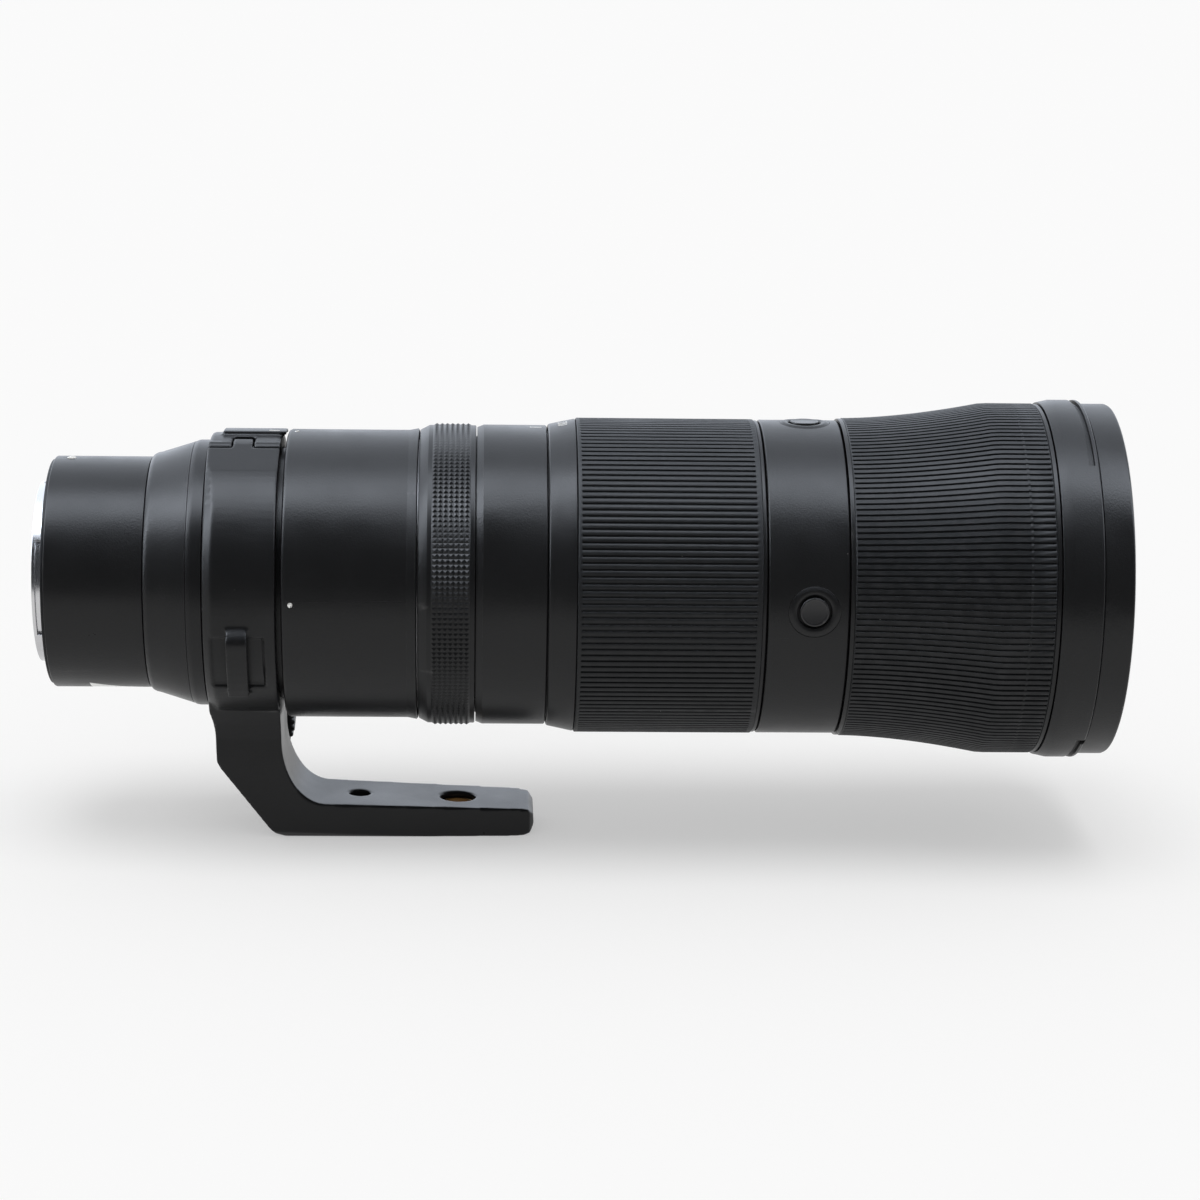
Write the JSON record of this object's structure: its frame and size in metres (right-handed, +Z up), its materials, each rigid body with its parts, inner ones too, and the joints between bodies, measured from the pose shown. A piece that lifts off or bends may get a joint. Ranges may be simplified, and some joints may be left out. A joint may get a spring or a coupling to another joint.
{
  "type": "camera zoom lens",
  "caption": "Long camera zoom lens with inside zoom, turning tripod collar and foot, ribbed zoom and focus rings, knurled control ring and push buttons.",
  "frame": {"origin": "on the lens axis, in the plane of the mount flange that meets the camera", "axes": "+X along the lens axis from the mount to the front glass; +Z up, away from the tripod foot; -Y is the side that faces the camera of the picture"},
  "size_m": [0.3187, 0.1078, 0.1326],
  "materials": {
    "black_barrel": "satin black, fine grained",
    "black_metal": "black anodised, satin",
    "inner_metal": "bright machined",
    "inner_black": "flat black",
    "grip_rubber": "ribbed black rubber",
    "bayonet_chrome": "polished",
    "steel": "fine turned",
    "gold_contact": "gold plated",
    "brass_insert": "plain turned",
    "lens_glass": "coated optical glass",
    "white_paint": "white filled marks",
    "button_black": "smooth black",
    "board_green": "soldermask green"
  },
  "bodies": {
    "barrel": {"bayonet_mount": "bayonet_chrome", "mount_screws": "steel", "mount_gasket": "grip_rubber", "rear_liner": "inner_black", "contact_pins": "gold_contact", "mount_barrel": "black_barrel", "rear_cone": "black_barrel", "rear_cell": "inner_black", "rear_element": "lens_glass", "collar_seat": "black_metal", "main_barrel": "black_barrel", "index_marks": "white_paint", "switch_panel": "black_barrel", "circuit_board": "board_green", "iris_housing": "inner_black", "iris_blades": "steel", "vr_frame": "inner_metal", "mid_barrel": "black_barrel", "guide_tube": "inner_metal", "guide_rods": "steel", "focus_motor": "inner_black", "button_barrel": "black_barrel", "button_bezels": "black_barrel", "front_barrel": "black_metal", "front_element": "lens_glass", "second_element": "lens_glass", "front_retainer": "inner_black", "hood_ring": "black_barrel", "front_rim": "black_barrel"},
    "mode_switch": {"focus_mode_switch": "button_black"},
    "limit_switch": {"focus_limit_switch": "button_black"},
    "vr_plate": {"vr_carrier": "inner_metal"},
    "vr_group": {"vr_cell": "inner_black", "vr_lens": "lens_glass"},
    "drive_screw": {"lead_screw": "steel"},
    "focus_group": {"focus_cell": "inner_black", "focus_lens": "lens_glass"},
    "control": {"control_ring": "black_metal"},
    "zoom": {"zoom_ring": "black_barrel", "zoom_grip": "grip_rubber", "cam_tube": "inner_metal"},
    "front_group": {"front_group_cell": "inner_black", "front_group_lens": "lens_glass"},
    "rear_group": {"rear_group_cell": "inner_black", "rear_group_lens": "lens_glass"},
    "button_side": {"side_button": "button_black"},
    "button_top": {"top_button": "button_black"},
    "button_far": {"far_button": "button_black"},
    "button_under": {"under_button": "button_black"},
    "focus": {"focus_ring": "black_barrel", "focus_grip": "grip_rubber"},
    "collar": {"collar_foot": "black_metal", "foot_insert": "brass_insert", "hinge_pin": "black_metal"},
    "arm": {"collar_arm": "black_metal", "collar_index": "white_paint"},
    "knob": {"clamp_stud": "steel", "clamp_knob": "black_barrel"}
  },
  "joints": [
    {"name": "zoom_turn", "type": "hinge", "parent": "barrel", "child": "zoom", "pos_m": [0.18, 0, 0], "axis": [1, 0, 0], "range_deg": [0, 70]},
    {"name": "front_group_slide", "type": "slide", "parent": "barrel", "child": "front_group", "axis": [1, 0, 0], "range_m": [0, 0.022]},
    {"name": "rear_group_slide", "type": "slide", "parent": "barrel", "child": "rear_group", "axis": [1, 0, 0], "range_m": [0, 0.01]},
    {"name": "focus_turn", "type": "hinge", "parent": "barrel", "child": "focus", "pos_m": [0.264, 0, 0], "axis": [1, 0, 0], "continuous": true},
    {"name": "control_turn", "type": "hinge", "parent": "barrel", "child": "control", "pos_m": [0.118, 0, 0], "axis": [1, 0, 0], "continuous": true},
    {"name": "focus_slide", "type": "slide", "parent": "barrel", "child": "focus_group", "axis": [1, 0, 0], "range_m": [0, 0.016]},
    {"name": "screw_turn", "type": "hinge", "parent": "barrel", "child": "drive_screw", "pos_m": [0.12, 0, -0.03], "axis": [1, 0, 0], "range_deg": [0, 1441]},
    {"name": "vr_lift", "type": "slide", "parent": "barrel", "child": "vr_plate", "axis": [0, 0, 1], "range_m": [-0.001, 0.001], "stiffness_N_per_m": 12000},
    {"name": "vr_shift", "type": "slide", "parent": "vr_plate", "child": "vr_group", "axis": [0, 1, 0], "range_m": [-0.001, 0.001], "stiffness_N_per_m": 8000},
    {"name": "side_press", "type": "slide", "parent": "barrel", "child": "button_side", "axis": [0, 1, 0], "range_m": [0, 0.0005], "stiffness_N_per_m": 2500},
    {"name": "top_press", "type": "slide", "parent": "barrel", "child": "button_top", "axis": [0, 0, -1], "range_m": [0, 0.0005], "stiffness_N_per_m": 2500},
    {"name": "far_press", "type": "slide", "parent": "barrel", "child": "button_far", "axis": [0, -1, 0], "range_m": [0, 0.0005], "stiffness_N_per_m": 2500},
    {"name": "under_press", "type": "slide", "parent": "barrel", "child": "button_under", "axis": [0, 0, 1], "range_m": [0, 0.0005], "stiffness_N_per_m": 2500},
    {"name": "mode_slide", "type": "slide", "parent": "barrel", "child": "mode_switch", "axis": [1, 0, 0], "range_m": [0, 0.003]},
    {"name": "limit_slide", "type": "slide", "parent": "barrel", "child": "limit_switch", "axis": [1, 0, 0], "range_m": [0, 0.003]},
    {"name": "collar_turn", "type": "hinge", "parent": "barrel", "child": "collar", "pos_m": [0.0577, 0, 0], "axis": [1, 0, 0], "continuous": true},
    {"name": "collar_open", "type": "hinge", "parent": "collar", "child": "arm", "pos_m": [0.0577, -0.00902, 0.03907], "axis": [1, 0, 0], "range_deg": [0, 40]},
    {"name": "knob_turn", "type": "hinge", "parent": "arm", "child": "knob", "pos_m": [0.059, 0.0171, -0.05603], "axis": [0, 0.9643, 0.2648], "range_deg": [0, 720]}
  ],
  "couplings": [
    {"joint": "front_group_slide", "follows": "zoom_turn", "m_per_rad": 0.018007},
    {"joint": "rear_group_slide", "follows": "zoom_turn", "m_per_rad": 0.008185},
    {"joint": "screw_turn", "follows": "focus_slide", "rad_per_m": 1570.8}
  ]
}
